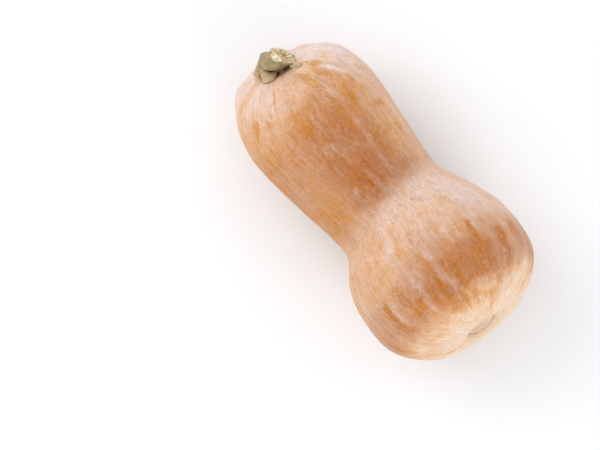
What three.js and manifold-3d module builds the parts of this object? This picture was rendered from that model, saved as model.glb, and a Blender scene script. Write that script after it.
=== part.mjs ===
// A butternut squash lying on its side, in millimetres.
// +X runs along the fruit from the stem end to the blossom end and +Z is up.
// The origin is on the ground, under the middle of the whole thing's box.
import * as THREE from "three";
import { mergeVertices } from "three/addons/utils/BufferGeometryUtils.js";
import Module from "manifold-3d";

const wasm = await Module();
wasm.setup();

// ---- Driving dimensions ----

// The fruit's outline from the middle of the stem hollow to the middle of the blossom hollow:
// [distance along the spine, radius].
const FRUIT_OUTLINE = [
  [4, 0],
  [2.2, 9],
  [0, 18],
  [1.5, 27.5],
  [6, 35.6],
  [13, 40.7],
  [24, 45],
  [38, 48],
  [52, 48.2],
  [68, 46.9],
  [84, 44.8],
  [100, 42.6],
  [113, 41.2],
  [122, 41.3],
  [131, 45],
  [141, 50.5],
  [153, 55.8],
  [167, 58.4],
  [180, 58.7],
  [192, 57],
  [201, 52.7],
  [208, 46.2],
  [213.5, 37.5],
  [217, 27],
  [218.4, 16.5],
  [217.6, 11.8],
  [215.8, 9.7],
  [216.6, 7],
  [216.6, 0],
];
const FRUIT_STEPS_ALONG = 78;
const FRUIT_STEPS_ROUND = 60;

// The spine's slope against the ground: [distance along the spine, degrees up].
const SPINE_PITCH = [
  [0, -33],
  [45, -9],
  [75, -1],
  [110, 5],
  [145, 11],
  [190, 17],
  [226, 23],
];
// The spine's turn in plan: [distance along the spine, degrees towards +Y].
const SPINE_YAW = [
  [0, -3],
  [30, 0],
  [60, 0],
  [105, 1],
  [125, 4],
  [145, -4],
  [185, -4],
  [226, -2],
];
const SPINE_STEP = 1;
const SPINE_START_HEIGHT = 61;

// Shallow valleys run along the whole rind. Every other one is a deeper groove by the stem.
const VALLEYS = 10;
const VALLEY_TURN = -31;
const VALLEY_DEPTH_SHARE = 0.018;
const STEM_GROOVE_DEPTH = 1.4;
const STEM_GROOVE_REACH = 34;
// Relief dies away where the outline comes in to the middle of either end: [starts, full] radius.
const RELIEF_FADE = [4, 22];
// The shoulder round the stem falls away on the side given here.
const SHOULDER_DROP = 5;
const SHOULDER_DROP_TURN = 150;
const SHOULDER_DROP_REACH = 22;
const SHOULDER_DROP_FADE = [13, 25];

// How deep the flat spots are on which the bulb and the upper neck lie.
const FLAT_DEPTH = 1;
const CUTTER_SIZE = 600;

// The stem: a stub that leans to +Y, on feet of unequal reach, with one oblique cut face.
// Its axis is given from the middle of the stem hollow.
const STEM_AXIS = [
  [4, -1, -3],
  [-1, -1.5, 1],
  [-4.5, 1.5, 5.2],
  [-5, 5.5, 9],
  [-4, 9, 11.8],
];
const STEM_BASE_RADIUS = 8;
const STEM_WALL_RADIUS = 9;
const STEM_TOP_RADIUS = 9.5;
const CUT_FACE_NORMAL = [-0.35, 0.85, 0.4];
// [degrees round from the top towards +Y, reach past the base, height of the ridge above it]
const STEM_FEET = [
  [-137, 12, 0.8],
  [-50, 8, 0.4],
  [8, 0, 0.4],
  [66, 10, 0.8],
  [145, 8, 1.6],
];
const STEM_FOOT_WIDTH = 28;
const STEM_FLARE_POWER = 2.2;
// The feet lie on the sides of the hollow, which rise by this much at this radius.
const STEM_DISH_HEIGHT = 4;
const STEM_DISH_RADIUS = 18;
// Lumps and hollows of the stub's side:
// [degrees round, share along, half width in degrees, half length, height].
const STEM_LUMPS = [
  // The overhang on one side, the crease under it and the rounded foot below.
  [-25, 0.52, 55, 0.1, 1.6],
  [-25, 0.36, 55, 0.1, -2.5],
  [-40, 0.45, 50, 0.05, -4.6],
  [-36, 0.29, 26, 0.09, 2.6],
  [-38, 0.13, 30, 0.07, -2],
  [-92, 0.26, 16, 0.14, 1.4],
  // The side towards the ground, with a shoulder under the cut.
  [-145, 0.2, 26, 0.16, -1.2],
  [-150, 0.44, 32, 0.16, -1.5],
  [-152, 0.66, 22, 0.07, 2],
  [-150, 0.87, 34, 0.09, -2.8],
  [120, 0.5, 14, 0.3, -1],
  // The rim drawn in beside the knob, and the gap under it.
  [66, 1, 24, 0.07, -3.2],
  [36, 0.44, 24, 0.14, -4],
];
// The oval knob beside the cut, which clears the rind: its middle from the middle of the stem
// hollow, its reach along each of its axes and its turn from +X towards +Y.
const KNOB_MIDDLE = [5.6, 9.9, 14.8];
const KNOB_REACH = [3.8, 2.4, 2.4];
const KNOB_TURN = 50;
const KNOB_STEPS = 16;
const STEM_STEPS_ALONG = 24;
const STEM_STEPS_ROUND = 60;

// Between the stem's underside and the rind.
const GAP = 0.3;
const MERGE_WITHIN = 1e-3;

// ---- Shared shapes ----

const radians = THREE.MathUtils.degToRad;

// The value at one distance in a list of [distance, value], straight between its entries.
function valueAt(list, distance) {
  for (let i = 1; i < list.length; i++) {
    const [d0, v0] = list[i - 1];
    const [d1, v1] = list[i];
    if (distance <= d1 || i === list.length - 1) {
      return v0 + ((v1 - v0) * (distance - d0)) / (d1 - d0);
    }
  }
  return list[0][1];
}

// The spine's direction, its left side (+Y) and its upper side at one distance along it.
function spineAxes(distance) {
  const pitch = radians(valueAt(SPINE_PITCH, distance));
  const yaw = radians(valueAt(SPINE_YAW, distance));
  const ahead = new THREE.Vector3(
    Math.cos(pitch) * Math.cos(yaw),
    Math.cos(pitch) * Math.sin(yaw),
    Math.sin(pitch),
  );
  const left = new THREE.Vector3(-Math.sin(yaw), Math.cos(yaw), 0);
  const up = new THREE.Vector3().crossVectors(ahead, left);
  return { ahead, left, up };
}

// A point given by its distance along the spine, and to the left of it and above it.
function bentPoint(distance, left, above) {
  const point = new THREE.Vector3(0, 0, SPINE_START_HEIGHT);
  const steps = Math.max(1, Math.ceil(Math.abs(distance) / SPINE_STEP));
  const step = distance / steps;
  for (let i = 0; i < steps; i++) {
    point.addScaledVector(spineAxes((i + 0.5) * step).ahead, step);
  }
  const axes = spineAxes(distance);
  return point.addScaledVector(axes.left, left).addScaledVector(axes.up, above);
}

// 1 in the middle of a valley and 0 away from it, for one angle round the spine.
function valley(angle, count, sharpness) {
  const phase = count * (angle - radians(VALLEY_TURN));
  return Math.pow(0.5 + 0.5 * Math.cos(phase), sharpness);
}

// How far the rind stands out from its smooth outline.
function rindRelief(distance, radius, angle) {
  const fade = THREE.MathUtils.smoothstep(radius, ...RELIEF_FADE);
  const nearStem = 1 - THREE.MathUtils.smoothstep(distance, 0, STEM_GROOVE_REACH);
  const ribs = -VALLEY_DEPTH_SHARE * radius * valley(angle, VALLEYS, 2);
  const grooves = -STEM_GROOVE_DEPTH * nearStem * valley(angle, VALLEYS / 2, 3);
  const rim = THREE.MathUtils.smoothstep(radius, ...SHOULDER_DROP_FADE);
  const shoulder = rim * (1 - THREE.MathUtils.smoothstep(distance, 0, SHOULDER_DROP_REACH));
  const lean = Math.pow(0.5 + 0.5 * Math.cos(angle - radians(SHOULDER_DROP_TURN)), 2);
  return fade * (ribs + grooves) - SHOULDER_DROP * shoulder * lean;
}

// A closed three.js geometry as a solid, with its shared vertices merged.
function toSolid(geometry) {
  const bare = geometry.clone();
  bare.deleteAttribute("normal");
  bare.deleteAttribute("uv");
  const merged = mergeVertices(bare, MERGE_WITHIN);
  const corners = merged.index.array;
  const kept = [];
  for (let i = 0; i < corners.length; i += 3) {
    const [a, b, c] = corners.slice(i, i + 3);
    if (a !== b && b !== c && c !== a) kept.push(a, b, c);
  }
  return new wasm.Manifold(
    new wasm.Mesh({
      numProp: 3,
      vertProperties: merged.attributes.position.array,
      triVerts: new Uint32Array(kept),
    }),
  );
}

function toGeometry(solid) {
  const mesh = solid.getMesh();
  const geometry = new THREE.BufferGeometry();
  geometry.setAttribute("position", new THREE.BufferAttribute(mesh.vertProperties, 3));
  geometry.setIndex(new THREE.BufferAttribute(mesh.triVerts, 1));
  geometry.computeVertexNormals();
  return geometry;
}

// ---- Fruit ----

function fruitGeometry() {
  const outline = new THREE.SplineCurve(
    FRUIT_OUTLINE.map(([distance, radius]) => new THREE.Vector2(radius, distance)),
  );
  const profile = outline.getPoints(FRUIT_STEPS_ALONG);
  const geometry = new THREE.LatheGeometry(profile, FRUIT_STEPS_ROUND);
  const { position, normal } = geometry.attributes;
  for (let i = 0; i < position.count; i++) {
    const distance = position.getY(i);
    const left = -position.getX(i);
    const above = position.getZ(i);
    const relief = rindRelief(distance, Math.hypot(left, above), Math.atan2(left, above));
    const point = bentPoint(
      distance + relief * normal.getY(i),
      left - relief * normal.getX(i),
      above + relief * normal.getZ(i),
    );
    position.setXYZ(i, point.x, point.y, point.z);
  }
  return geometry;
}

// The fruit with its two flat spots, which lie in one plane.
function restingFruit() {
  const whole = toSolid(fruitGeometry());
  const ground = whole.boundingBox().min[2] + FLAT_DEPTH;
  const under = new THREE.BoxGeometry(CUTTER_SIZE, CUTTER_SIZE, CUTTER_SIZE);
  under.translate(0, 0, ground - CUTTER_SIZE / 2);
  return whole.subtract(toSolid(under));
}

// ---- Stem ----

// A smooth hump of height 1 at an offset of 0.
function hump(offset, width) {
  return Math.exp(-Math.pow(offset / width, 2));
}

// The smaller angle between two directions round an axis.
function turnApart(angle, degrees) {
  return Math.acos(Math.cos(angle - radians(degrees)));
}

// 1 where the stem meets the fruit, falling to 0 at its cut face.
function stemFlare(along) {
  return Math.pow(1 - along, STEM_FLARE_POWER);
}

// The stem's radius at one share of its length and one angle round it.
function stemRadius(along, angle) {
  const flare = stemFlare(along);
  let radius = THREE.MathUtils.lerp(STEM_WALL_RADIUS, STEM_TOP_RADIUS, along);
  radius += (STEM_BASE_RADIUS - STEM_WALL_RADIUS) * flare;
  for (const [turn, reach, ridge] of STEM_FEET) {
    radius += (reach * flare + ridge) * hump(turnApart(angle, turn), radians(STEM_FOOT_WIDTH));
  }
  for (const [turn, share, width, length, height] of STEM_LUMPS) {
    radius += height * hump(turnApart(angle, turn), radians(width)) * hump(along - share, length);
  }
  return radius;
}

function stemGeometry() {
  const [hollow] = FRUIT_OUTLINE;
  const base = bentPoint(hollow[0], 0, 0);
  const { ahead, left } = spineAxes(0);
  const outward = ahead.clone().negate();
  const cutNormal = new THREE.Vector3(...CUT_FACE_NORMAL).normalize();
  const axis = new THREE.CatmullRomCurve3(
    STEM_AXIS.map((offset) => new THREE.Vector3(...offset).add(base)),
  );
  const geometry = new THREE.CylinderGeometry(1, 1, 1, STEM_STEPS_ROUND, STEM_STEPS_ALONG);
  const { position } = geometry.attributes;
  for (let i = 0; i < position.count; i++) {
    const along = position.getY(i) + 0.5;
    const angle = Math.atan2(position.getX(i), position.getZ(i));
    const share = Math.hypot(position.getX(i), position.getZ(i));
    const radius = share * stemRadius(along, angle);
    const normal = outward.clone().lerp(cutNormal, along).normalize();
    const side = left.clone().projectOnPlane(normal).normalize();
    const top = new THREE.Vector3().crossVectors(side, normal);
    const dish = STEM_DISH_HEIGHT * Math.pow(radius / STEM_DISH_RADIUS, 2);
    const point = axis.getPoint(along);
    point.addScaledVector(side, radius * Math.sin(angle));
    point.addScaledVector(top, radius * Math.cos(angle));
    point.addScaledVector(outward, dish * stemFlare(along));
    position.setXYZ(i, point.x, point.y, point.z);
  }
  return geometry;
}

function knobGeometry() {
  const [hollow] = FRUIT_OUTLINE;
  const middle = bentPoint(hollow[0], 0, 0).add(new THREE.Vector3(...KNOB_MIDDLE));
  const geometry = new THREE.SphereGeometry(1, KNOB_STEPS, KNOB_STEPS / 2);
  geometry.scale(...KNOB_REACH);
  geometry.rotateZ(radians(KNOB_TURN));
  geometry.translate(middle.x, middle.y, middle.z);
  return geometry;
}

// The stem above the rind, with its underside fitted to the hollow and its shoulders.
function fittedStem(fruitSolid) {
  const lift = spineAxes(0).ahead.multiplyScalar(-GAP);
  const whole = toSolid(stemGeometry()).add(toSolid(knobGeometry()));
  return whole.subtract(fruitSolid.translate(lift.toArray()));
}

// ---- The whole ----

const fruitSolid = restingFruit();
const fruit = new THREE.Mesh(
  toGeometry(fruitSolid),
  new THREE.MeshStandardMaterial({ color: 0xd9a072, roughness: 0.6, metalness: 0 }),
);
fruit.name = "fruit";

const stem = new THREE.Mesh(
  toGeometry(fittedStem(fruitSolid)),
  new THREE.MeshStandardMaterial({ color: 0x8f8a68, roughness: 0.85, metalness: 0 }),
);
stem.name = "stem";

const squash = new THREE.Group();
squash.add(fruit, stem);
const box = new THREE.Box3().setFromObject(squash);
const middle = box.getCenter(new THREE.Vector3());
squash.position.set(-middle.x, -middle.y, -box.min.z);

export default squash;
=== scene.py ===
"""The looks of a butternut squash lying on its side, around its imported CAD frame.

Everything is in metres with +Z up. The fine rind and stem repeat the CAD solids' shape formulas, whose
lengths are in millimetres, and come out at the CAD's own size.
"""

import math

import bpy
import numpy as np
from mathutils import Matrix, Vector, noise


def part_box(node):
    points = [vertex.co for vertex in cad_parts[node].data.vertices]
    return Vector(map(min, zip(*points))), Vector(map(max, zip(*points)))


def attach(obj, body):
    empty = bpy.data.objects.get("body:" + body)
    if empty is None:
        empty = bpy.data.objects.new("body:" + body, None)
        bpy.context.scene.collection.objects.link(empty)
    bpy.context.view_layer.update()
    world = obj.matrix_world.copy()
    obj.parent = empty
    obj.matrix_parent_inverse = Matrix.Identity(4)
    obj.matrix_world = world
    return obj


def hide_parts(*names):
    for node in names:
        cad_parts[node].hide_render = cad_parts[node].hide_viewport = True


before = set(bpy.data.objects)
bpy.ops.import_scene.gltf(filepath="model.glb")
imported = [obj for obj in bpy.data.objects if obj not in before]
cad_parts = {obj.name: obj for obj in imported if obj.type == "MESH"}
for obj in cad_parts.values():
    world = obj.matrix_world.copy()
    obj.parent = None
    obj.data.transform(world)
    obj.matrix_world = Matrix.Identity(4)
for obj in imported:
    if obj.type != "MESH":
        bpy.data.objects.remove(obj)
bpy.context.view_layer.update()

MM = 0.001

# ---- The CAD's own shape, in millimetres and degrees ----

# [distance along the spine, radius], from the stem hollow to the blossom hollow.
FRUIT_OUTLINE = [
    (4, 0), (2.2, 9), (0, 18), (1.5, 27.5), (6, 35.6), (13, 40.7), (24, 45), (38, 48), (52, 48.2), (68, 46.9),
    (84, 44.8), (100, 42.6), (113, 41.2), (122, 41.3), (131, 45), (141, 50.5), (153, 55.8), (167, 58.4),
    (180, 58.7), (192, 57), (201, 52.7), (208, 46.2), (213.5, 37.5), (217, 27), (218.4, 16.5), (217.6, 11.8),
    (215.8, 9.7), (216.6, 7), (216.6, 0),
]
# How steeply the spine climbs, and its turn in plan: [distance along the spine, degrees].
SPINE_PITCH = [(0, -33), (45, -9), (75, -1), (110, 5), (145, 11), (190, 17), (226, 23)]
SPINE_YAW = [(0, -3), (30, 0), (60, 0), (105, 1), (125, 4), (145, -4), (185, -4), (226, -2)]
# Its course is added up in short steps, between these distances.
SPINE_REACH = (-20, 240)
SPINE_STEP = 0.5
# Valleys run along the rind, as deep as this share of its radius. Every other one is a groove by the stem.
VALLEYS = 10
VALLEY_TURN = -31
VALLEY_DEPTH_SHARE = 0.018
STEM_GROOVE_DEPTH = 1.4
STEM_GROOVE_REACH = 34
# Both fade in between these radii, so the ends have smooth middles.
RELIEF_FADE = (4, 22)
# The shoulder round the stem falls away to one side, which fades in between two radii.
SHOULDER_DROP = 5
SHOULDER_TURN = 150
SHOULDER_REACH = 22
SHOULDER_FADE = (13, 25)
# The lowest millimetre is cut flat, for the fruit to rest on.
FLAT_DEPTH = 1

# The stem's middle line, from the middle of the stem hollow, and its radii without feet and lumps.
STEM_AXIS = [(4, -1, -3), (-1, -1.5, 1), (-4.5, 1.5, 5.2), (-5, 5.5, 9), (-4, 9, 11.8)]
STEM_BASE_RADIUS = 8
STEM_WALL_RADIUS = 9
STEM_TOP_RADIUS = 9.5
CUT_FACE_NORMAL = (-0.35, 0.85, 0.4)
# [degrees round, how far the foot reaches out at the base, height of its ridge all the way up]
STEM_FEET = [(-137, 12, 0.8), (-50, 8, 0.4), (8, 0, 0.4), (66, 10, 0.8), (145, 8, 1.6)]
STEM_FOOT_WIDTH = 28
STEM_FLARE_POWER = 2.2
# The base is dished, rising by this height at this radius.
STEM_DISH_HEIGHT = 4
STEM_DISH_RADIUS = 18
# Lumps and hollows of its side: [degrees round, share along, half width in degrees, half length, height].
STEM_LUMPS = [
    (-25, 0.52, 55, 0.1, 1.6), (-25, 0.36, 55, 0.1, -2.5), (-40, 0.45, 50, 0.05, -4.6),
    (-36, 0.29, 26, 0.09, 2.6), (-38, 0.13, 30, 0.07, -2), (-92, 0.26, 16, 0.14, 1.4),
    (-145, 0.2, 26, 0.16, -1.2), (-150, 0.44, 32, 0.16, -1.5), (-152, 0.66, 22, 0.07, 2),
    (-150, 0.87, 34, 0.09, -2.8), (120, 0.5, 14, 0.3, -1), (66, 1, 24, 0.07, -3.2), (36, 0.44, 24, 0.14, -4),
]
KNOB_MIDDLE = (5.6, 9.9, 14.8)
KNOB_REACH = (3.8, 2.4, 2.4)
KNOB_TURN = 50

# ---- Detail finer than the CAD's ----

# From one octave of noise to the next, height falls and scale rises by these factors.
NOISE_FALL = 0.6
NOISE_RISE = 2.1

# The rind's own coordinates, length from the stem and angle, are a place on a tube of this radius.
RIND_RADIUS = 50
# Its dents, and its ripples in waves per mm of those coordinates, fade in between two radii.
DENT_HEIGHT = 0.35
DENT_SCALE = 0.03
RIPPLE_HEIGHT = 0.16
RIPPLE_STRETCH = (0.02, 0.16, 0.16)
DETAIL_FADE = (10, 24)

# Narrow lumps of the stem's side, given like STEM_LUMPS: its notch, a crevice and three low ribs.
STEM_FINE_LUMPS = [
    (30, 0.86, 8, 0.2, -3.2), (4, 0.3, 10, 0.12, -2.4), (-104, 0.7, 12, 0.3, 0.6), (-64, 0.75, 9, 0.25, -0.6),
    (-22, 0.72, 10, 0.2, 0.5),
]
# Woody ridges run along the stem, swaying a little. They fade in between two shares of its length.
STEM_RIDGES = 13
STEM_RIDGE_HEIGHT = 0.08
STEM_RIDGE_ALONG = (0.1, 0.4)
STEM_SWAY = 2.4
STEM_SWAY_STRETCH = (0.1, 0.25, 0.25)
# Its grain, laid out on a straight tube of this length.
STEM_GRAIN_HEIGHT = 0.3
STEM_GRAIN_STRETCH = (0.3, 0.9, 0.9)
STEM_GRAIN_LENGTH = 18
# How uneven the knob is, as a share of its radius, and the scale and place of that noise.
KNOB_ROUGHNESS = 0.1
KNOB_NOISE_SCALE = 1.3
KNOB_NOISE_PLACE = 20
# The cut face: how rough it is, the scales of its lumps and crumbs, the crumbs' height beside the lumps', and
# the power by which it flattens towards its rim.
CUT_ROUGHNESS = 0.7
CUT_LUMP_SCALE = 0.55
CUT_CRUMB_SCALE = 1.6
CUT_CRUMB_SHARE = 0.5
CUT_RIM_POWER = 6
# Its sunken pith: radius and middle as shares of the rim's radius, and its slope as shares of its own.
PITH_DEPTH = 0.8
PITH_RADIUS = 0.4
PITH_MIDDLE = (0, -0.25)
PITH_SLOPE = (0.6, 1.5)
# The rim is ragged by about this share of its radius, fading in between two shares along.
RAGGED_RIM = 0.07
RAGGED_RIM_SCALE = 3.5
RAGGED_RIM_ALONG = (0.86, 1)
# The wood of the cut begins between these shares along.
CUT_ALONG = (0.985, 1)
# Under the cut the side is torn to that wood too: middle and half width in degrees, and two shares along.
TORN_TURN = -45
TORN_WIDTH = 42
TORN_ALONG = (0.72, 1)
# Where the stem's colours lie: [share along, degrees round, half length, half width in degrees, strength].
STEM_PATCHES = {
    "green": [
        (0.7, -66, 0.2, 22, 1.2), (0.82, -40, 0.1, 34, 1.1), (0.58, -20, 0.09, 46, 1.2),
        (0.62, -104, 0.18, 18, 0.9), (0.4, -110, 0.16, 22, 0.8), (0.6, 160, 0.3, 30, 0.8),
    ],
    "grey": [(0.68, -132, 0.2, 30, 1), (0.7, -2, 0.16, 36, 1), (0.9, 110, 0.3, 30, 0.8)],
    "pale": [
        (0.5, -5, 0.03, 50, 1), (0.42, -128, 0.2, 16, 0.5), (0.28, -34, 0.1, 24, 1.1),
        (0.16, -40, 0.1, 22, 0.9), (0.8, 54, 0.1, 16, 0.9),
    ],
    # the dark places are painted shade: in the crevice under the overhang, in a narrow crevice and in the gap
    # under the knob
    "dark": [(0.45, -38, 0.07, 66, 1.2), (0.32, 8, 0.14, 10, 0.9), (0.5, 40, 0.24, 14, 1)],
    # the brown low down near the base is partly the wood's own brown and partly painted shade where the lobe
    # meets the rind
    "brown": [
        (0.2, -6, 0.2, 13, 1.5), (0.2, -64, 0.18, 9, 1.4), (0.24, -88, 0.14, 14, 1.2),
        (0.08, -45, 0.09, 80, 1.3), (0.6, 52, 0.14, 24, 1), (0.62, -140, 0.3, 12, 0.8),
        (0.1, -130, 0.1, 30, 0.9),
    ],
}
# Where the cut's colours lie, with the share from its middle to its rim in place of the share along.
CUT_PATCHES = {
    "green": [(0.75, 28, 0.35, 24, 1), (0.85, -125, 0.25, 24, 0.6)],
    "grey": [(0.95, 112, 0.22, 30, 1)],
    "pale": [(0.85, -60, 0.3, 45, 0.6)],
    "dark": [],
    "brown": [
        (0.4, -20, 0.22, 44, 1.1), (0.8, -40, 0.14, 14, 1), (0.7, -75, 0.14, 12, 1),
        (0.2, 150, 0.3, 60, 0.8),
    ],
}
# The knob is coloured like this share along the stem: pale above, brown lower down and towards one tip, dark
# below as painted shade on its underside, each between two heights or depths in shares of its reach.
KNOB_ALONG = 0.8
KNOB_PALE = (-0.3, 0.5)
KNOB_BROWN = (-0.2, 0.7)
KNOB_BROWN_LEAN = 0.4
KNOB_UNDERSIDE_SHADE = (0.2, 0.9)

# How finely each mesh is divided, along and round.
SKIN_ROWS = 290
SKIN_COLUMNS = 330
STEM_ROWS = 90
STEM_COLUMNS = 260
STEM_CUT_RINGS = 30
KNOB_ROWS = 50
KNOB_COLUMNS = 70
OUTLINE_POINTS = 4001

# ---- Rind markings ----

# How thick the pale bloom lies on the orange rind, from 0 to 1: [distance along the spine, bloom].
BLOOM_ON_TOP = [
    (0, 0.56), (6, 0.46), (13, 0.36), (20, 0.26), (40, 0.2), (60, 0.2), (85, 0.21), (104, 0.19), (112, 0.34),
    (122, 0.58), (132, 0.66), (148, 0.55), (160, 0.46), (170, 0.36), (178, 0.26), (195, 0.24), (208, 0.24),
    (218, 0.3),
]
BLOOM_ON_FLANK = [
    (0, 0.8), (8, 0.76), (18, 0.62), (32, 0.44), (50, 0.34), (100, 0.26), (112, 0.26), (124, 0.5),
    (140, 0.51), (160, 0.5), (170, 0.44), (180, 0.32), (195, 0.26), (206, 0.22), (220, 0.3),
]
# How readily the bloom is rubbed away there, in the same way.
BARE_ON_TOP = [
    (0, 0.25), (8, 0.4), (18, 0.62), (50, 0.7), (85, 0.68), (106, 0.72), (113, 0.45), (122, 0.1), (140, 0.15),
    (162, 0.25), (172, 0.5), (184, 0.7), (214, 0.7),
]
BARE_ON_FLANK = [
    (0, 0), (15, 0.2), (60, 0.3), (100, 0.35), (118, 0.2), (140, 0.15), (165, 0.15), (185, 0.3), (214, 0.3),
]
# How deep the orange under the bloom is there, in the same way.
DEPTH_ON_TOP = [
    (0, 0), (18, 0.3), (45, 0.65), (80, 0.85), (106, 1), (116, 0.5), (126, 0.15), (145, 0.2), (160, 0.4),
    (172, 0.6), (184, 0.8), (200, 0.8), (212, 0.5), (218, 0.2),
]
DEPTH_ON_FLANK = [
    (0, 0), (30, 0.2), (52, 0.55), (78, 0.5), (100, 0.4), (118, 0.3), (140, 0.1), (165, 0.2), (182, 0.6),
    (204, 0.6), (216, 0.2),
]
# The +Y flank has more bloom than the tables say and the -Y one less, by this much at these distances.
BLOOM_LEAN = [
    (0, 0.06), (20, 0.2), (45, 0.2), (60, 0.14), (110, 0.14), (130, 0.16), (165, 0.16), (185, 0), (220, 0),
]
# On the neck its orange is less deep, by this share, which fades in by degrees round and out by distance.
DEPTH_LEAN = 0.75
DEPTH_LEAN_TURN = (15, 45)
DEPTH_LEAN_END = (90, 115)
# The top lies between these angles, and fades into the flanks over this many degrees.
TOP_SIDE = (-24, 46)
TOP_FADE = 12

# Patches where the bloom is rubbed away:
# [distance, degrees round, half length, half width in degrees, strength].
BARE_PATCHES = [
    # on the bulb, from +Y round to -Y
    (182, 62, 12, 7, 1.3), (183, 45.5, 9, 5, 1.5), (196, 44, 12, 6, 1), (172, 29, 12, 4.5, 1.1),
    (207, 31, 6, 8, 0.8), (184, 25, 15, 5, 0.95), (199, 25, 9, 6, 1), (182, 13, 13, 5, 0.7),
    (187, 5, 14, 7, 0.95), (207, 54, 6, 5, 0.9), (203, 4, 9, 8, 0.9), (201, 15, 11, 5, 0.8),
    (172, -8, 11, 4, 0.7), (191, -8, 15, 4, 1), (203, -6, 7, 4, 0.6), (196, -14, 10, 4, 0.9),
    (196, -28, 9, 7.5, 1.45), (181, -34, 13, 5, 1.5), (186, -48, 12, 5, 1.3), (198, -48, 13, 8, 1.15),
    # on the neck
    (39, 31, 22, 10, 1.2), (81, 29, 17, 10, 0.9), (30, 15, 24, 6, 0.75), (34, -4, 19, 11, 0.8),
    (64, 8, 18, 9, 0.8), (63, -8, 9, 5, 1), (88, 3, 14, 12, 0.85), (104, 1, 9, 10, 1),
    (94, -8, 20, 8, 0.8), (8, 16, 10, 9, 1), (9, 33, 9, 7, 1.1), (3, 43, 5, 9, 1.1),
    (100, -58, 14, 12, 1.1), (17, -55, 14, 4.5, 1.3), (25, 5, 12, 9, 0.9), (15, -41, 6, 2, 0.9),
    (62, 50, 9, 7, 1), (84, 53, 10, 6, 0.9), (4, -26, 7, 2.5, 1.1), (36, -27, 9, 1.6, 0.9),
    (40, -18, 14, 3, 0.7), (62, 5, 30, 9, 0.8), (36, 42, 16, 4, 0.8),
]
# Pale places where the bloom is thick or the rind is scuffed, given in the same way.
PALE_PATCHES = [
    # on the bulb and the slope up to it
    (165, 16, 14, 3.5, 0.6), (177, -14, 12, 3.5, 0.6), (166, 35, 11, 4, 0.5), (148, -22, 22, 7, 0.5),
    (150, 48, 24, 14, 0.4), (183, 36.5, 20, 4.5, 0.45), (182, -20, 18, 3.5, 0.8), (186, -43, 14, 2.5, 1.2),
    (190, -2.5, 16, 2.5, 0.9), (187, 53, 13, 3, 1), (171, -3, 9, 3, 0.6), (200, -21, 12, 3.5, 0.7),
    # on the neck
    (16, 43, 9, 4, 1.6), (12, -16, 8, 12, 0.7), (26, 21, 22, 3, 0.6), (80, 20, 14, 3.5, 0.45),
    (60, 2, 10, 5, 0.35), (56, -20, 30, 3, 0.3), (72, 5, 12, 4, 0.35), (52, 37, 10, 4, 0.4),
    (97, 21, 10, 5, 0.5), (62, 22, 9, 3, 0.4),
]
# Every patch fades out between these shares of its half length and half width.
PATCH_FADE = (0.1, 1.25)
# How much bareness a rubbed patch adds, and what pale places and the cream end take away.
BARE_FROM_PATCH = 0.25
BARE_HID_BY_PALE = 0.6
BARE_HID_BY_CREAM = 0.9
DEPTH_HID_BY_CREAM = 0.8
# The markings' edges wander by this many mm along the fruit and degrees round it, in waves 1 / scale long,
# read from the noise this far apart. The first fades in between two radii.
WARP = (5, 4)
WARP_SCALE = 0.06
WARP_SHIFTS = (0, 300)
WARP_FADE = (12, 30)
# Thin pale scratches: [distance, degrees round] at its start, middle and end, then half width in mm.
SCRATCHES = [
    ((9, 47), (16, 43), (26, 41), 1.2),
    ((52, 61), (85, 63), (118, 60), 0.9),
    ((118, 60), (165, 55), (205, 62), 0.8),
    ((191, 28), (198, 26), (205, 20), 0.4),
    ((168, 31), (182, 31), (194, 27), 0.35),
    ((138, 22), (160, 20), (184, 18), 0.35),
]
# No place counts as more than this many half widths from a scratch. Its curve has this many points.
SCRATCH_REACH = 4
SCRATCH_POINTS = 24
# Degrees round are turned into mm at no less than this radius.
SCRATCH_LEAST_RADIUS = 5
# The blossom end is cream: [degrees round, distance] where that begins, and how far it fades to each side.
CREAM_EDGE = [
    (-180, 210), (-60, 212), (-50, 213), (-32, 211), (-20, 210), (-5, 212), (10, 213), (30, 213), (45, 212.5),
    (60, 210), (180, 210),
]
CREAM_FADE = (-15, 10)
# Past about these degrees round the photograph shows nothing, and noise makes blotches in the bloom and bare
# patches in a belt round the bulb: [its middle, its half width].
UNSEEN_FROM = (60, 80)
BLOTCH_STRENGTH = 0.15
BLOTCH_SCALE = 0.028
BARE_BELT = (188, 15)
BELT_STRETCH = (0.45, 1, 1)
BELT_SCALE = 0.06
BELT_RANGE = (-0.1, 0.5)
# The rind's fine fibres fade in between these radii, so neither end has any.
SIDE_RADII = (20, 38)
# The blossom scar: a corky ring round a pale disc, and how it fades out from its middle line, in mm. It is
# only on the end past this distance along, and all other places count as this far from its middle.
SCAR_RADIUS = 9.7
SCAR_EDGE = (-0.24, 1.2)
SCAR_SIDE = 190
SCAR_FAR = 99

# ---- Colours, and how the materials mix them ----

# The rind under its bloom, where it is deep orange and where it isn't.
ORANGE = (178, 102, 30)
OCHRE = (206, 139, 62)
# The bloom, where it is warm, where it is cool and over deep orange.
BLOOM = (236, 212, 198)
LILAC = (230, 212, 212)
MAUVE = (212, 190, 178)
# The blossom end and its edge, then the scratches and the scar.
CREAM = (230, 197, 158)
PEACH = (224, 166, 106)
SCRATCH = (240, 214, 190)
CORK = (150, 102, 62)
STEM_GREEN = (148, 142, 102)
STEM_TAN = (180, 158, 120)
STEM_GREY = (152, 148, 130)
STEM_PALE = (214, 188, 152)
STEM_FOOT = (200, 166, 128)
STEM_BROWN = (138, 96, 64)
# A dark brown for the stem's grain and for painted shade.
STEM_DARK_GRAIN_AND_SHADE = (66, 40, 18)
CUT_CREAM = (242, 226, 194)
CUT_SHADE = (186, 166, 128)
CUT_OCHRE = (186, 156, 92)
CUT_GREEN = (196, 188, 156)

# Pale veins run from end to end: how many, and how far they wander as a share of the space between them.
VEINS = 22
VEIN_WANDER = 2.4

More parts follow.
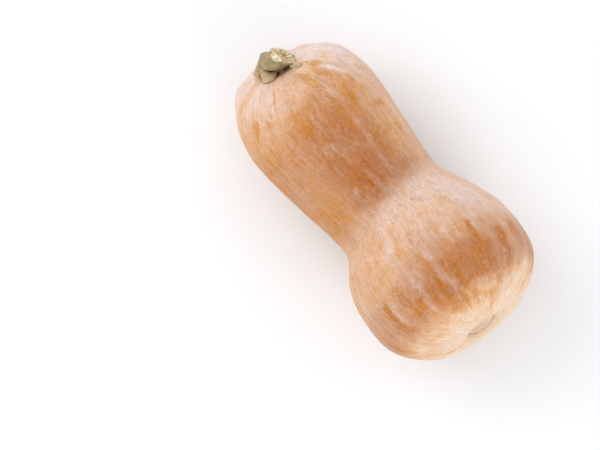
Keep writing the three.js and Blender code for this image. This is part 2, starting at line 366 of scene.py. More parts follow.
# The materials' noises: [coordinates, waves per metre along each of them, detail, roughness, distortion].
RIND_NOISES = {
    "streaks": ("rind", (38, 220, 220), 2, 0.5, 0.6),
    "blots": ("place", (110, 110, 110), 4, 0.54, 0.4),
    "clouds": ("place", (40, 40, 40), 3, 0.6, 0.3),
    "flecks": ("place", (750, 750, 750), 3, 0.7, 0.5),
    "specks": ("place", (1300, 1300, 1300), 2, 0.6, 0),
    "wrinkles": ("place", (380, 380, 380), 3, 0.6, 0.8),
    "fibres": ("rind", (150, 900, 900), 3, 0.6, 0.6),
    "contour": ("rind", (85, 420, 420), 2, 0.5, 1.2),
    "wander": ("rind", (9, 26, 26), 2, 0.5, 0),
    "gaps": ("rind", (34, 60, 60), 3, 0.6, 0),
    "dents": ("rind", (70, 240, 240), 3, 0.6, 0.6),
}
STEM_NOISES = {
    "mottle": ("place", (170, 170, 170), 3, 0.6, 0),
    "fibres": ("grain", (110, 700, 700), 3, 0.6, 0.6),
    "flecks": ("place", (600, 600, 600), 3, 0.6, 0),
}
# Looks of the rind: [how much each part counts in a sum, the sums where the look starts and ends, and its
# values there if they aren't 0 and 1].
LINE = ({"from_line": 1}, 0, 0.035, 1, 0)
BROKEN = ({"gaps": 1}, -0.12, 0.16)
VEIN = ({"from_vein": 1}, 0, 0.14, 1, 0)
RUBBED = ({"bare": 1, "streaks": 2, "blots": 2.2, "clouds": 1, "flecks": 0.5, "vein": -0.3}, 0.1, 1.1)
COOL = ({"pale": 0.7, "thickness": 0.8, "vein": 0.3, "clouds": 0.8, "streaks": 1.3, "blots": 0.8}, 0.42, 1)
DEEP = ({"depth": 1, "clouds": 0.8, "blots": 0.4}, 0, 1)
CREAM_PARTS = {"cream": 1, "streaks": 0.5, "blots": 0.4, "clouds": 0.5}
CREAMY = (CREAM_PARTS, 0, 0.9)
CREAMIEST = (CREAM_PARTS, 0.4, 1.1)
SCRATCHED = ({"from_scratch": 1, "blots": 1.5}, 0.4, 1.7, 0.42, 0)
SCARRED = ({"from_ring": 1, "flecks": 1.6, "clouds": 2.5, "specks": 0.8}, *SCAR_EDGE, 0.9, 0)
GRIT = ({"flecks": 0.9, "specks": 0.6, "wrinkles": 0.8, "fibres": 0.8}, -0.25, 0.25, 0.82, 1.14)
GRITTY = ({"rubbed": 1}, 0, 1, 0.5, 1)
ROUGH = ({"thickness": 1}, 0, 0.6, 0.42, 0.6)
# Sums that are used as they are.
BLOOM_PARTS = {
    "kept": 1, "pale": 0.18, "vein": 0.08, "streaks": 0.65, "blots": 0.9, "clouds": 0.7, "flecks": 0.12,
    "specks": 0.04, "line": 0.05,
}
SCAR_MIDDLE = {"from_blossom": 1, "blots": 3}
LOW_BUMPS = {"wrinkles": 1, "line": 0.2, "vein": 0.3}
JAGGED = {"mottle": 1.6, "fibres": 1.1, "flecks": 0.8}
# Looks of the stem, given like the rind's. Creases come from Blender's pointiness and get painted shade.
STEM_PATCH_EDGE = (0.1, 1.1)
FOOTLESS = ({"along": 1, "jagged": 1}, 0.26, 0.46)
GRAINY = ({"fibres": 1, "flecks": 1}, -0.3, 0.3, 0.3, 0)
CREASE_SHADE = ({"creases": 1}, 0.41, 0.49, 1, 0)
TORN = ({"on_face": 1, "mottle": 1.4, "fibres": 1, "flecks": 1.2}, 0.42, 0.62)
CUT_LIGHT = ({"flecks": 1, "mottle": 0.6}, -0.12, 0.12)
CUT_CREASE_SHADE = ({"creases": 1}, 0.44, 0.49, 0.8, 0)
PITH_LIGHT = ({"flecks": 1}, -0.06, 0.12)
PITHLESS = ({"from_pith": 1, "mottle": 1.2, "flecks": 0.5}, PITH_RADIUS, PITH_RADIUS + 0.2)
# How strong these are where they are full.
RUBBED_STRENGTH = 0.85
MAUVE_STRENGTH = 0.75
# how strong the painted shade of the stem's dark places is
STEM_SHADE_STRENGTH = 0.85
CUT_BROWN_STRENGTH = 0.8
# The shader's own values.
RIND_GLOSS = {"Specular IOR Level": 0.35, "Sheen Weight": 0.06, "Sheen Roughness": 0.45}
STEM_GLOSS = {"Roughness": 0.8, "Specular IOR Level": 0.3}
FLOOR_GLOSS = {"Roughness": 0.9, "Specular IOR Level": 0.1}
# [height in metres, strength] of each bump.
DENT_BUMP = (0.0012, 0.5)
LOW_BUMP = (0.001, 0.7)
SPECK_BUMP = (0.0003, 0.5)
STEM_FIBRE_BUMP = (0.0004, 0.5)
STEM_FLECK_BUMP = (0.0005, 0.5)

# ---- Floor, light and the photograph's view ----

FLOOR_COLOUR = (243, 246, 250)
FLOOR_HALF = 3
SKY_COLOUR = (255, 254, 252)
# The studio's brightness at floor height and overhead.
SKY_STRENGTH = (1.25, 0.7)
LIT_POINT = Vector((0, 0, 0.05))
LIGHT_DISTANCE = 1.6
LIGHT_SIZE = 1.1
# [direction, as right, up and towards the camera in the picture, power in watts, tint]
LIGHTS = {
    "key": ((-0.8, 0.5, 0.75), 9, (1, 0.985, 0.96)),
    "fill": ((0.7, -0.9, 0.55), 7, (1, 1, 1)),
}
# A camera straight above, its frame turned in plan.
CAMERA_PLACE = (-0.0165, -0.0504, 1.0582)
CAMERA_RIGHT = (0.6375, 0.7705, 0)
FRAME_WIDTH_AT_A_METRE = 0.384
SENSOR_WIDTH = 36


# ---- Small tools ----


def smoothstep(value, low, high):
    """0 below low, 1 above high and a smooth rise between."""
    share = np.clip((value - low) / (high - low), 0, 1)
    return share * share * (3 - 2 * share)


def hump(offset, width):
    """A smooth hump of height 1 at an offset of 0."""
    return np.exp(-np.square(offset / width))


def unit(vectors):
    """Vectors scaled to length 1."""
    return vectors / np.maximum(np.linalg.norm(vectors, axis=-1, keepdims=True), 1e-12)


def full_turn(count):
    """Even angles all the way round."""
    return np.linspace(0, 2 * math.pi, count, endpoint=False)


def turn_apart(angle, degrees):
    """The smaller angle between two directions round an axis, in radians."""
    return np.arccos(np.cos(angle - math.radians(degrees)))


def half_turns(degrees):
    """The same directions, as degrees from -180 to 180."""
    return (degrees + 180) % 360 - 180


def cubic(start, end, leave, arrive, w):
    """A cubic from start to end with these slopes, at a share w of the way."""
    third = 2 * start - 2 * end + leave + arrive
    second = -3 * start + 3 * end - 2 * leave - arrive
    return third * w**3 + second * w**2 + leave * w + start


def uniform_spline(points, shares):
    """Catmull-Rom through points, with equal shares of the whole for each stretch."""
    points = np.array(points, float)
    last = len(points) - 1
    place = np.asarray(shares) * last
    first = np.minimum(np.floor(place).astype(int), last)
    w = (place - first)[:, None]
    before, start, end, after = (points[np.clip(first + k, 0, last)] for k in (-1, 0, 1, 2))
    return cubic(start, end, (end - before) / 2, (after - start) / 2, w)


def centripetal_spline(points, shares):
    """Centripetal Catmull-Rom through points, as three.js draws a CatmullRomCurve3."""
    points = np.array(points, float)
    last = len(points) - 1
    padded = np.vstack([2 * points[0] - points[1], points, 2 * points[-1] - points[-2]])
    made = []
    for share in shares:
        place = share * last
        i = min(int(place), last - 1)
        w = place - i
        p0, p1, p2, p3 = padded[i : i + 4]
        t0, t1, t2 = (math.sqrt(max(np.linalg.norm(b - a), 1e-4)) for a, b in ((p0, p1), (p1, p2), (p2, p3)))
        leave = ((p1 - p0) / t0 - (p2 - p0) / (t0 + t1) + (p2 - p1) / t1) * t1
        arrive = ((p2 - p1) / t1 - (p3 - p1) / (t1 + t2) + (p3 - p2) / t2) * t1
        made.append(cubic(p1, p2, leave, arrive, w))
    return np.array(made)


def noise_at(points, scale, octaves):
    """Smooth noise from about -1 to 1 at points, with features 1 / scale across."""
    flat = (np.asarray(points) * scale).reshape(-1, 3)
    values = [noise.fractal(Vector(p), NOISE_FALL, NOISE_RISE, octaves) for p in flat]
    return np.array(values).reshape(np.shape(points)[:-1])


# ---- The spine ----


def value_at(pairs, distance):
    """The value at a distance in a list of [distance, value], carried on straight past its ends."""
    xs, ys = np.array(pairs, float).T
    value = np.interp(distance, xs, ys)
    before = ys[0] + (ys[1] - ys[0]) / (xs[1] - xs[0]) * (distance - xs[0])
    after = ys[-1] + (ys[-1] - ys[-2]) / (xs[-1] - xs[-2]) * (distance - xs[-1])
    return np.where(distance < xs[0], before, np.where(distance > xs[-1], after, value))


def spine_axes(distance):
    """The spine's direction, its left side and its upper side at each distance."""
    pitch = np.radians(value_at(SPINE_PITCH, distance))
    yaw = np.radians(value_at(SPINE_YAW, distance))
    ahead = np.stack([np.cos(pitch) * np.cos(yaw), np.cos(pitch) * np.sin(yaw), np.sin(pitch)], -1)
    left = np.stack([-np.sin(yaw), np.cos(yaw), 0 * yaw], -1)
    return ahead, left, np.cross(ahead, left)


def spine_points(distance):
    """The spine's own points, from its start at the origin."""
    marks = np.arange(SPINE_REACH[0], SPINE_REACH[1] + SPINE_STEP, SPINE_STEP)
    steps = spine_axes(marks[:-1] + SPINE_STEP / 2)[0] * SPINE_STEP
    places = np.vstack([np.zeros(3), np.cumsum(steps, axis=0)])
    places -= [np.interp(0, marks, places[:, k]) for k in range(3)]
    return np.stack([np.interp(distance, marks, places[:, k]) for k in range(3)], -1)


def bent_points(distance, left, above):
    """Points given by their distance along the spine, and to the left of it and above it."""
    _, side, up = spine_axes(distance)
    return spine_points(distance) + side * left[..., None] + up * above[..., None]


# ---- Meshes ----


def grid_mesh(name, points, start, end):
    """A closed mesh from rings of points, with a middle point at its start and at its end."""
    rows, columns = points.shape[:2]
    k = np.arange(rows * columns).reshape(rows, columns)
    turned = np.roll(k, -1, axis=1)
    faces = np.stack([k[:-1], turned[:-1], turned[1:], k[1:]], -1).reshape(-1, 4).tolist()
    faces += [(k.size, b, a) for a, b in zip(k[0], turned[0])]
    faces += [(k.size + 1, a, b) for a, b in zip(k[-1], turned[-1])]
    mesh = bpy.data.meshes.new(name)
    mesh.from_pydata((np.vstack([points.reshape(-1, 3), start, end]) * MM).tolist(), [], faces)
    mesh.polygons.foreach_set("use_smooth", [True] * len(faces))
    mesh.update()
    return mesh


def add_attributes(mesh, masks, vectors):
    """Stores values and vectors at the mesh's vertices, for its material to read."""
    for name, values in masks.items():
        layer = mesh.attributes.new(name, "FLOAT", "POINT")
        layer.data.foreach_set("value", np.asarray(values, np.float32).ravel())
    for name, values in vectors.items():
        layer = mesh.attributes.new(name, "FLOAT_VECTOR", "POINT")
        layer.data.foreach_set("vector", np.asarray(values, np.float32).ravel())


def add_object(data):
    """A mesh, light or camera as an object of the scene, with the same name."""
    made = bpy.data.objects.new(data.name, data)
    bpy.context.scene.collection.objects.link(made)
    return made


# ---- The fruit's surface ----


def valley(angle, count, sharpness):
    """1 in the middle of a valley and 0 away from it."""
    phase = count * (angle - math.radians(VALLEY_TURN))
    return (0.5 + 0.5 * np.cos(phase)) ** sharpness


def rind_relief(distance, radius, angle):
    """How far the rind stands out from its smooth outline, as in the CAD."""
    fade = smoothstep(radius, *RELIEF_FADE)
    near_stem = 1 - smoothstep(distance, 0, STEM_GROOVE_REACH)
    ribs = -VALLEY_DEPTH_SHARE * radius * valley(angle, VALLEYS, 2)
    grooves = -STEM_GROOVE_DEPTH * near_stem * valley(angle, VALLEYS / 2, 3)
    shoulder = smoothstep(radius, *SHOULDER_FADE) * (1 - smoothstep(distance, 0, SHOULDER_REACH))
    drop = -SHOULDER_DROP * shoulder * (0.5 + 0.5 * np.cos(angle - math.radians(SHOULDER_TURN))) ** 2
    return fade * (ribs + grooves) + drop


def fine_outline():
    """The outline at even steps along itself: distance, radius, both parts of its normal, length so far."""
    dense = uniform_spline(FRUIT_OUTLINE, np.linspace(0, 1, OUTLINE_POINTS))
    length = np.concatenate([[0], np.cumsum(np.linalg.norm(np.diff(dense, axis=0), axis=1))])
    even = np.linspace(0, length[-1], SKIN_ROWS + 1)
    distance, radius = (np.interp(even, length, dense[:, k]) for k in (0, 1))
    normal = unit(np.stack([-np.gradient(radius), np.gradient(distance)], -1))
    return distance, np.maximum(radius, 0), normal, even


def rind_point(distance, radius, angle, normal, out):
    """A place on the outline, moved out along its normal and bent with the spine."""
    moved = radius + out * normal[..., 1]
    return bent_points(distance + out * normal[..., 0], moved * np.sin(angle), moved * np.cos(angle))


def skin_detail(place, radius, rind):
    """Small unevenness of the rind, in mm: dents and long ripples."""
    dents = DENT_HEIGHT * noise_at(place, DENT_SCALE, 2)
    ripples = RIPPLE_HEIGHT * noise_at(rind * RIPPLE_STRETCH, 1, 2)
    return smoothstep(radius, *DETAIL_FADE) * (dents + ripples)


def frame_offset(points):
    """What moves the bare shape to where the CAD's fruit lies, its lowest millimetre under the ground."""
    low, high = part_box("fruit")
    middle = (np.array(low) + np.array(high)) / 2 / MM
    bare = (points.reshape(-1, 3).min(axis=0) + points.reshape(-1, 3).max(axis=0)) / 2
    ground = points[..., 2].min() + FLAT_DEPTH
    return np.array([middle[0] - bare[0], middle[1] - bare[1], -ground])


# ---- Where the markings lie ----


def strongest_patch(patches, distance, turn):
    """How strongly each place lies in one of a list of oval patches, fading from their middles outwards."""
    strongest = np.zeros(np.shape(distance))
    for along, around, length, width, strength in patches:
        reach = np.hypot((distance - along) / length, half_turns(turn - around) / width)
        strongest = np.maximum(strongest, strength * (1 - smoothstep(reach, *PATCH_FADE)))
    return strongest


def scratch_route(*places):
    """Points along a curve through the start, middle and end of a scratch."""
    start, middle, end = np.array(places)
    bend = 2 * middle - (start + end) / 2
    shares = np.linspace(0, 1, SCRATCH_POINTS)[:, None]
    return (1 - shares) ** 2 * start + 2 * shares * (1 - shares) * bend + shares**2 * end


def scratch_gap(distance, turn, radius):
    """How many times its half width each place is to one side of the nearest scratch."""
    nearest = np.full(np.shape(distance), float(SCRATCH_REACH))
    mm_per_degree = radius * math.radians(1)
    for *places, width in SCRATCHES:
        route = scratch_route(*places)
        for (d0, t0), (d1, t1) in zip(route[:-1], route[1:]):
            ahead = d1 - d0
            across = (t1 - t0) * mm_per_degree
            along = distance - d0
            around = (turn - t0) * mm_per_degree
            share = np.clip((along * ahead + around * across) / (ahead**2 + across**2), 0, 1)
            gap = np.hypot(along - share * ahead, around - share * across) / width
            side = np.sign(around * ahead - along * across)
            nearest = np.where(gap < np.abs(nearest), side * gap, nearest)
    return nearest


def wandered(distance, radius, turn, place):
    """Distances and degrees round, shifted a little, so that the markings' edges wander."""
    along, around = (noise_at(place + shift, WARP_SCALE, 3) for shift in WARP_SHIFTS)
    distance = distance + WARP[0] * along * smoothstep(radius, *WARP_FADE)
    return distance, half_turns(turn + WARP[1] * around)


def from_tables(distance, turn):
    """Bloom, bareness and depth of orange at each place, from the tables for the top and the flanks."""
    top = smoothstep(turn, TOP_SIDE[0] - TOP_FADE, TOP_SIDE[0] + TOP_FADE)
    top *= 1 - smoothstep(turn, TOP_SIDE[1] - TOP_FADE, TOP_SIDE[1] + TOP_FADE)
    tables = ((BLOOM_ON_TOP, BLOOM_ON_FLANK), (BARE_ON_TOP, BARE_ON_FLANK), (DEPTH_ON_TOP, DEPTH_ON_FLANK))
    bloom, bare, depth = (
        top * value_at(on_top, distance) + (1 - top) * value_at(on_flank, distance)
        for on_top, on_flank in tables
    )
    lean = smoothstep(turn, *DEPTH_LEAN_TURN) * (1 - smoothstep(distance, *DEPTH_LEAN_END))
    return bloom, bare, depth * (1 - DEPTH_LEAN * lean)


def rind_masks(distance, radius, angle, place):
    """Everything that the rind's material reads about each place, as name: value."""
    turn = half_turns(np.degrees(angle))
    scratch = scratch_gap(distance, turn, np.maximum(radius, SCRATCH_LEAST_RADIUS))
    distance, turn = wandered(distance, radius, turn, place)
    bloom, bare, depth = from_tables(distance, turn)
    cream = smoothstep(distance - value_at(CREAM_EDGE, turn), *CREAM_FADE)
    unseen = smoothstep(np.abs(turn), *UNSEEN_FROM)
    blotch = BLOTCH_STRENGTH * noise_at(place, BLOTCH_SCALE, 3)
    bloom += value_at(BLOOM_LEAN, distance) * np.sin(angle) + unseen * blotch
    belt = hump(distance - BARE_BELT[0], BARE_BELT[1])
    bare += unseen * belt * smoothstep(noise_at(place * BELT_STRETCH, BELT_SCALE, 2), *BELT_RANGE)
    patches = strongest_patch(BARE_PATCHES, distance, turn)
    pale = strongest_patch(PALE_PATCHES, distance, turn)
    bare = np.maximum(bare, patches) + BARE_FROM_PATCH * patches
    return {
        "bloom": bloom,
        "bare": bare - BARE_HID_BY_PALE * pale - BARE_HID_BY_CREAM * cream,
        "pale": pale,
        "depth": depth * (1 - DEPTH_HID_BY_CREAM * cream),
        "side": smoothstep(radius, *SIDE_RADII),
        "cream": cream,
        "scratch": scratch,
        "from_blossom": np.where(distance > SCAR_SIDE, radius, SCAR_FAR),
    }


# ---- The pieces ----


def fruit_skin():
    """The rind as one fine closed mesh, flat where it lies on the ground, and the offset to its place."""
    distance, radius, normal, length = fine_outline()
    rings = slice(1, -1)
    along, angle = np.meshgrid(distance[rings], full_turn(SKIN_COLUMNS), indexing="ij")
    reach, run = (np.broadcast_to(values[rings, None], along.shape) for values in (radius, length))
    normals = np.broadcast_to(normal[rings, None], along.shape + (2,))
    relief = rind_relief(along, reach, angle)
    bare = rind_point(along, reach, angle, normals, relief)
    offset = frame_offset(bare)
    rind = np.stack([run, RIND_RADIUS * np.sin(angle), RIND_RADIUS * np.cos(angle)], -1)
    detail = skin_detail(bare, reach, rind)
    points = rind_point(along, reach, angle, normals, relief + detail) + offset
    points[..., 2] = np.maximum(points[..., 2], 0)
    start, end = (spine_points(distance[k]) + offset for k in (0, -1))
    mesh = grid_mesh("fruit_skin", points, start, end)
    # its rings run the other way from the stem's, so its faces would look inwards
    mesh.flip_normals()

    masks = {
        name: np.append(value.ravel(), [value[0].mean(), value[-1].mean()])
        for name, value in rind_masks(along, reach, angle, bare).items()
    }
    rind_ends = [[length[0], 0, 0], [length[-1], 0, 0]]
    add_attributes(mesh, masks, {"rind": np.vstack([rind.reshape(-1, 3), rind_ends]) * MM})
    return add_object(mesh), offset


def lump_at(lump, along, angle):
    """The height of one lump of the stem at a share of its length and an angle round it."""
    turn, share, width, length, height = lump
    return height * hump(turn_apart(angle, turn), math.radians(width)) * hump(along - share, length)


def stem_flare(along):
    """1 where the stem meets the fruit, falling to 0 at its cut face."""
    return (1 - along) ** STEM_FLARE_POWER


def stem_radius(along, angle):
    """The stem's radius, as in the CAD."""
    flare = stem_flare(along)
    radius = STEM_WALL_RADIUS + (STEM_TOP_RADIUS - STEM_WALL_RADIUS) * along
    radius = radius + (STEM_BASE_RADIUS - STEM_WALL_RADIUS) * flare
    for turn, reach, ridge in STEM_FEET:
        foot = hump(turn_apart(angle, turn), math.radians(STEM_FOOT_WIDTH))
        radius = radius + (reach * flare + ridge) * foot
    return radius + sum(lump_at(lump, along, angle) for lump in STEM_LUMPS)


def stem_grain(along, angle):
    """A place on the stem's side as on a straight tube, in mm."""
    radius = STEM_WALL_RADIUS
    return np.stack([STEM_GRAIN_LENGTH * along, radius * np.sin(angle), radius * np.cos(angle)], -1)


def stem_detail(along, angle):
    """What the fine stem adds to the CAD's radius: lumps, woody ridges and grain."""
    added = sum(lump_at(lump, along, angle) for lump in STEM_FINE_LUMPS)
    grain = stem_grain(along, angle)
    sway = STEM_SWAY * noise_at(grain * STEM_SWAY_STRETCH, 1, 2)
    added += STEM_RIDGE_HEIGHT * np.cos(STEM_RIDGES * angle + sway) * smoothstep(along, *STEM_RIDGE_ALONG)
    added += STEM_GRAIN_HEIGHT * noise_at(grain * STEM_GRAIN_STRETCH, 1, 3)
    return added


def stem_base():
    """The middle of the stem hollow, before the offset."""
    return spine_points(FRUIT_OUTLINE[0][0])


def stem_places(along, angle, radius, offset):
    """Points of the stem at a share of its length, an angle round it and a radius."""
    ahead, left, _ = spine_axes(0.0)
    outward = -ahead
    cut = unit(CUT_FACE_NORMAL)
    shares, where = np.unique(along, return_inverse=True)
    axis = centripetal_spline(STEM_AXIS, shares)[where].reshape(along.shape + (3,)) + stem_base()
    normal = unit(outward + (cut - outward) * along[..., None])
    side = unit(left - normal * (normal @ left)[..., None])
    top = np.cross(side, normal)
    dish = STEM_DISH_HEIGHT * (radius / STEM_DISH_RADIUS) ** 2
    points = axis + side * (radius * np.sin(angle))[..., None] + top * (radius * np.cos(angle))[..., None]
    return points + outward * (dish * stem_flare(along))[..., None] + offset


def stem_wall(offset):
    """The stem's ribbed side, ring by ring from its base: shares along, angles, radii and points."""
    along, angle = np.meshgrid(np.linspace(0, 1, STEM_ROWS), full_turn(STEM_COLUMNS), indexing="ij")
    radius = stem_radius(along, angle) + stem_detail(along, angle)
    circle = np.stack([np.sin(angle[0]), np.cos(angle[0]), 0 * angle[0]], -1)
    ragged = 0.5 + noise_at(circle, RAGGED_RIM_SCALE, 3)
    radius *= 1 - RAGGED_RIM * smoothstep(along, *RAGGED_RIM_ALONG) * ragged
    return along, angle, radius, stem_places(along, angle, radius, offset)


def stem_cut(rim, offset):
    """The rough cut face, ring by ring from its rim: shares of its radius, angles, pith gaps and points."""
    shares = np.linspace(1, 0, STEM_CUT_RINGS + 1)[1:-1]
    share, angle = np.meshgrid(shares, full_turn(STEM_COLUMNS), indexing="ij")
    flat = stem_places(np.ones(share.shape), angle, share * rim, offset)
    lumps = noise_at(flat, CUT_LUMP_SCALE, 3)
    rough = CUT_ROUGHNESS * (lumps + CUT_CRUMB_SHARE * noise_at(flat, CUT_CRUMB_SCALE, 2))
    from_pith = np.hypot(share * np.sin(angle) - PITH_MIDDLE[0], share * np.cos(angle) - PITH_MIDDLE[1])
    rough -= PITH_DEPTH * (1 - smoothstep(from_pith / PITH_RADIUS, *PITH_SLOPE))
    out = (rough * (1 - share**CUT_RIM_POWER))[..., None]
    return share, angle, from_pith, flat + unit(CUT_FACE_NORMAL) * out


def joined(on_wall, on_cut, *at_ends):
    """One list of values for the stem's side, its cut and both of its end points."""
    return np.concatenate([on_wall.ravel(), on_cut.ravel(), at_ends])


def stem_stub(offset):
    """The stem as one fine closed mesh: its ribbed side and its rough cut face."""
    along, angle, radius, wall = stem_wall(offset)
    share, spin, from_pith, face = stem_cut(radius[-1], offset)
    start = stem_places(np.zeros(1), np.zeros(1), np.zeros(1), offset)
    mesh = grid_mesh("stem_stub", np.vstack([wall, face]), start, face[-1].mean(axis=0))

    torn = hump(turn_apart(angle, TORN_TURN), math.radians(TORN_WIDTH)) * smoothstep(along, *TORN_ALONG)
    ones = np.ones(share.shape)
    masks = {
        "along": joined(along, ones, 0, 1),
        "from_pith": joined(np.ones(along.shape), from_pith, 1, 0),
        "on_face": joined(np.maximum(smoothstep(along, *CUT_ALONG), torn), ones, 0, 1),
    }
    for name, patches in STEM_PATCHES.items():
        on_wall = strongest_patch(patches, along, np.degrees(angle))
        on_cut = strongest_patch(CUT_PATCHES[name], share, np.degrees(spin))
        masks[name] = joined(on_wall, on_cut, 0, 0)
    grain = stem_grain(np.vstack([along, ones]), np.vstack([angle, spin])).reshape(-1, 3)
    grain_ends = [[0, 0, 0], [STEM_GRAIN_LENGTH, 0, 0]]
    add_attributes(mesh, masks, {"grain": np.vstack([grain, grain_ends]) * MM})
    return add_object(mesh)


def stem_knob(offset):
    """The oval knob beside the cut as one fine closed mesh."""
    tilts = np.linspace(0, math.pi, KNOB_ROWS + 1)[1:-1]
    tilt, spin = np.meshgrid(tilts, full_turn(KNOB_COLUMNS), indexing="ij")
    ball = np.stack([np.cos(tilt), np.sin(tilt) * np.sin(spin), np.sin(tilt) * np.cos(spin)], -1)
    tips = np.array([[1.0, 0, 0], [-1.0, 0, 0]])
    turn = np.array(Matrix.Rotation(math.radians(KNOB_TURN), 3, "Z"))
    placed = []
    for shape in (ball, tips):
        lumps = 1 + KNOB_ROUGHNESS * noise_at(shape + KNOB_NOISE_PLACE, KNOB_NOISE_SCALE, 4)
        lumpy = shape * KNOB_REACH * lumps[..., None]
        placed.append(lumpy @ turn.T + stem_base() + KNOB_MIDDLE + offset)
    rings, ends = placed
    mesh = grid_mesh("stem_knob", rings, *ends)

    whole = np.vstack([ball.reshape(-1, 3), tips])
    none = np.zeros(len(whole))
    masks = {"along": none + KNOB_ALONG, "from_pith": none + 1, "on_face": none, "green": none, "grey": none}
    masks["pale"] = smoothstep(whole[:, 2], *KNOB_PALE)
    masks["brown"] = smoothstep(KNOB_BROWN_LEAN * whole[:, 0] - whole[:, 2], *KNOB_BROWN)
    # dark painted shade on the knob's underside
    masks["dark"] = smoothstep(-whole[:, 2], *KNOB_UNDERSIDE_SHADE)
    add_attributes(mesh, masks, {"grain": whole * KNOB_REACH * MM})
    return add_object(mesh)


# ---- Materials ----


def colour(red, green, blue):
    """A screen colour from 0 to 255 as the linear colour that a node takes."""
    shares = [channel / 255 for channel in (red, green, blue)]
    return [s / 12.92 if s <= 0.04045 else ((s + 0.055) / 1.055) ** 2.4 for s in shares] + [1]


class Graph:
    """Short calls that add nodes to one material or world.

    Any input takes a socket, a plain value or the name of one of the parts, which are sockets kept by name.
    """

    def __init__(self, blocks, name, shader="Principled BSDF"):
        self.block = blocks.new(name)
        self.block.use_nodes = True
        self.tree = self.block.node_tree
        self.shader = self.tree.nodes[shader]
        self.parts = {}

    def put(self, socket, value):
        if isinstance(value, str):
            value = self.parts[value]
        if isinstance(value, bpy.types.NodeSocket):
            self.tree.links.new(value, socket)
        else:
            socket.default_value = value

    def fill(self, node, inputs):
        for name, value in inputs.items():
            self.put(node.inputs[name], value)

    def node(self, kind, *inputs, **settings):
        made = self.tree.nodes.new("ShaderNode" + kind)
        for key, value in settings.items():
            setattr(made, key, value)
        for place, value in enumerate(inputs):
            self.put(made.inputs[place], value)
        return made

    def attribute(self, name, output="Fac"):
        return self.node("Attribute", attribute_name=name).outputs[output]

    def calculate(self, operation, *values):
        return self.node("Math", *values, operation=operation).outputs[0]

    def sum(self, total, *others):
        for other in others:
            total = self.calculate("ADD", total, other)
        return total

    def times(self, first, second):
        return self.calculate("MULTIPLY", first, second)

    def weighed(self, weights):
        """The sum of the parts named in the weights, each times its weight."""
        return self.sum(*(self.times(name, weight) for name, weight in weights.items()))

    def spread(self, value, low, high, to_low=0, to_high=1):
        """A smooth change from to_low at low to to_high at high."""
        made = self.node("MapRange", value, low, high, to_low, to_high, interpolation_type="SMOOTHSTEP")
        return made.outputs[0]

    def look(self, weights, *limits):
        """The weighed sum of some parts, spread between limits."""
        return self.spread(self.weighed(weights), *limits)

    def noise(self, vector, stretch, detail, roughness, distortion):
        """Noise around 0, from -0.5 to 0.5."""
        moved = self.node("Mapping", vector)
        self.fill(moved, {"Scale": stretch})
        made = self.node("TexNoise", moved.outputs[0])
        self.fill(made, {"Scale": 1, "Detail": detail, "Roughness": roughness, "Distortion": distortion})
        return self.calculate("SUBTRACT", made.outputs["Fac"], 0.5)

    def read(self, masks, noises, **coordinates):
        """Adds the mesh's own masks and a table of noises to the parts."""
        coordinates["place"] = self.node("TexCoord").outputs["Object"]
        for name in masks:
            self.parts[name] = self.attribute(name)
        for name, (where, *settings) in noises.items():
            self.parts[name] = self.noise(coordinates[where], *settings)

    def mix(self, share, first, second, blend="MIX"):
        """A mix of two colours, each of which is a socket or a screen colour."""
        made = self.node("Mix", data_type="RGBA", blend_type=blend)
        for name, value in (("Factor", share), ("A", first), ("B", second)):
            socket = [s for s in made.inputs if s.name == name and s.enabled][0]
            self.put(socket, colour(*value) if isinstance(value, tuple) else value)
        return [s for s in made.outputs if s.enabled][0]

    def bump(self, height, depth, strength, below=None):
        made = self.node("Bump")
        self.fill(made, {"Strength": strength, "Distance": depth, "Height": height})
        if below is not None:
            self.fill(made, {"Normal": below})
        return made.outputs["Normal"]


def add_veins(g, rind):
    """Adds thin contour lines to the parts, and broken pale veins from the stem to the blossom end."""
    g.parts["from_line"] = g.calculate("ABSOLUTE", "contour")
    g.parts["line"] = g.look(*LINE)
    g.parts["broken"] = g.look(*BROKEN)
    _, left, up = g.node("SeparateXYZ", rind).outputs
    turns = g.times(g.calculate("ARCTAN2", left, up), 1 / (2 * math.pi))
    vein = g.sum(g.times(turns, VEINS), g.times("wander", VEIN_WANDER))
    g.parts["from_vein"] = g.calculate("PINGPONG", vein, 0.5)
    g.parts["vein"] = g.times(g.look(*VEIN), "broken")


def add_bloom(g):
    """Adds to the parts where the bloom is rubbed away, and how thickly it lies."""
    g.parts["rubbed"] = g.look(*RUBBED)
    g.parts["kept"] = g.times("bloom", g.sum(g.times("rubbed", -RUBBED_STRENGTH), 1))
    g.parts["thickness"] = g.node("Clamp", g.weighed(BLOOM_PARTS), 0, 1).outputs[0]


def coated_rind(g):
    """The colour of the orange rind and its cream end under their veil of bloom."""
    depth = g.look(*DEEP)
    blossom = g.mix(g.look(*CREAMIEST), PEACH, CREAM)
    under = g.mix(g.look(*CREAMY), g.mix(depth, OCHRE, ORANGE), blossom)
    veil = g.mix(g.look(*COOL), BLOOM, LILAC)
    veil = g.mix(g.times(depth, MAUVE_STRENGTH), veil, MAUVE)
    return g.mix("thickness", under, veil)


def with_scratches(g, under):
    """A colour with the thin pale scratches on it."""
    g.parts["from_scratch"] = g.calculate("ABSOLUTE", "scratch")
    return g.mix(g.times(g.look(*SCRATCHED), "broken"), under, SCRATCH)


def with_scar(g, under):
    """A colour with the ragged brown ring of the blossom scar on it."""
    g.parts["from_ring"] = g.calculate("ABSOLUTE", g.sum(g.weighed(SCAR_MIDDLE), -SCAR_RADIUS))
    return g.mix(g.look(*SCARRED), under, CORK)


def with_grit(g, under):
    """A colour with the rind's fine grain in it, strongest where the rind is bare."""
    return g.mix(g.look(*GRITTY), under, g.look(*GRIT), "MULTIPLY")


